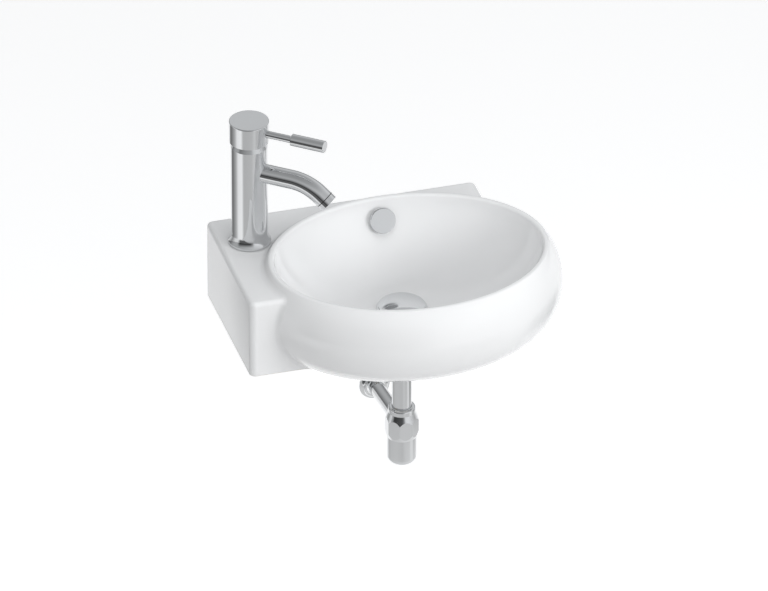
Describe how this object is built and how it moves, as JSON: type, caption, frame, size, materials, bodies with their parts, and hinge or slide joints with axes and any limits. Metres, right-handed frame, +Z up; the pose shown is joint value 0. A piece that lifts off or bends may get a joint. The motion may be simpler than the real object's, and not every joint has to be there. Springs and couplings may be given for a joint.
{
  "type": "hand basin",
  "caption": "Wall-hung oval ceramic hand basin with a square tap deck at one side, a single-lever mixer tap, an overflow, a press-open waste and a bottle trap to the wall.",
  "frame": {"origin": "on the wall plane, midway between the two wall bolts", "axes": "+X right along the wall for someone who faces it, +Y into the wall, +Z up"},
  "size_m": [0.4155, 0.3594, 0.4945],
  "materials": {
    "glazed_white": "gloss",
    "polished_chrome": "polished",
    "technical_ceramic": "satin",
    "black_rubber": "matte",
    "grey_plastic": "satin",
    "bright_steel": "satin",
    "bare_brass": "satin"
  },
  "bodies": {
    "basin": {"aerator_core": "grey_plastic", "aerator_ring": "polished_chrome", "aerator_washer": "black_rubber", "basin_body": "glazed_white", "cartridge_base": "grey_plastic", "cartridge_housing": "grey_plastic", "cartridge_nut": "bare_brass", "fixed_disc": "technical_ceramic", "fixing_nut": "bright_steel", "fixing_stud": "bright_steel", "horseshoe_gasket": "black_rubber", "horseshoe_washer": "bright_steel", "latch_barrel": "grey_plastic", "latch_ring": "grey_plastic", "latch_spring": "bright_steel", "overflow_cap": "polished_chrome", "overflow_insert": "grey_plastic", "port_seal_inlet_left": "black_rubber", "port_seal_inlet_right": "black_rubber", "port_seal_outlet": "black_rubber", "tap_base_ring": "polished_chrome", "tap_base_seal": "black_rubber", "tap_body": "polished_chrome", "tap_collar": "polished_chrome", "tap_spout": "polished_chrome", "trap_body": "polished_chrome", "trap_bottle": "polished_chrome", "trap_bottle_seal": "black_rubber", "trap_collar_nut": "polished_chrome", "trap_collar_seal": "black_rubber", "trap_inlet_nut": "polished_chrome", "trap_inlet_seal": "black_rubber", "trap_outlet_pipe": "polished_chrome", "trap_tail_pipe": "polished_chrome", "wall_bush_left": "grey_plastic", "wall_bush_right": "grey_plastic", "wall_flange": "polished_chrome", "waste_back_nut": "bare_brass", "waste_body": "polished_chrome", "waste_flange_seal": "black_rubber", "waste_slip_washer": "grey_plastic", "waste_taper_washer": "black_rubber"},
    "swivel": {"cartridge_rotor": "grey_plastic", "pivot_pin": "bright_steel"},
    "handle": {"cartridge_stem": "bare_brass", "handle_cap": "polished_chrome", "lever_rod": "polished_chrome", "lever_grip": "polished_chrome"},
    "disc": {"moving_disc": "technical_ceramic", "disc_carrier": "grey_plastic"},
    "plug": {"plug_stem": "bare_brass", "plug_cap": "polished_chrome", "plug_seal": "black_rubber"}
  },
  "joints": [
    {"name": "handle_turn", "type": "hinge", "parent": "basin", "child": "swivel", "pos_m": [-0.17999, -0.06199, 0.2], "axis": [0, 0, 1], "range_deg": [-45, 45]},
    {"name": "handle_lift", "type": "hinge", "parent": "swivel", "child": "handle", "pos_m": [-0.17999, -0.06199, 0.2], "axis": [-0.6293, -0.7771, 0], "range_deg": [0, 22]},
    {"name": "disc_slide", "type": "slide", "parent": "swivel", "child": "disc", "axis": [0.7771, -0.6293, 0], "range_m": [0, 0.0033]},
    {"name": "plug_slide", "type": "slide", "parent": "basin", "child": "plug", "axis": [0, 0, 1], "range_m": [0, 0.007], "deforming": ["latch_spring"]}
  ],
  "couplings": [
    {"joint": "disc_slide", "follows": "handle_lift", "m_per_rad": 0.0085}
  ]
}
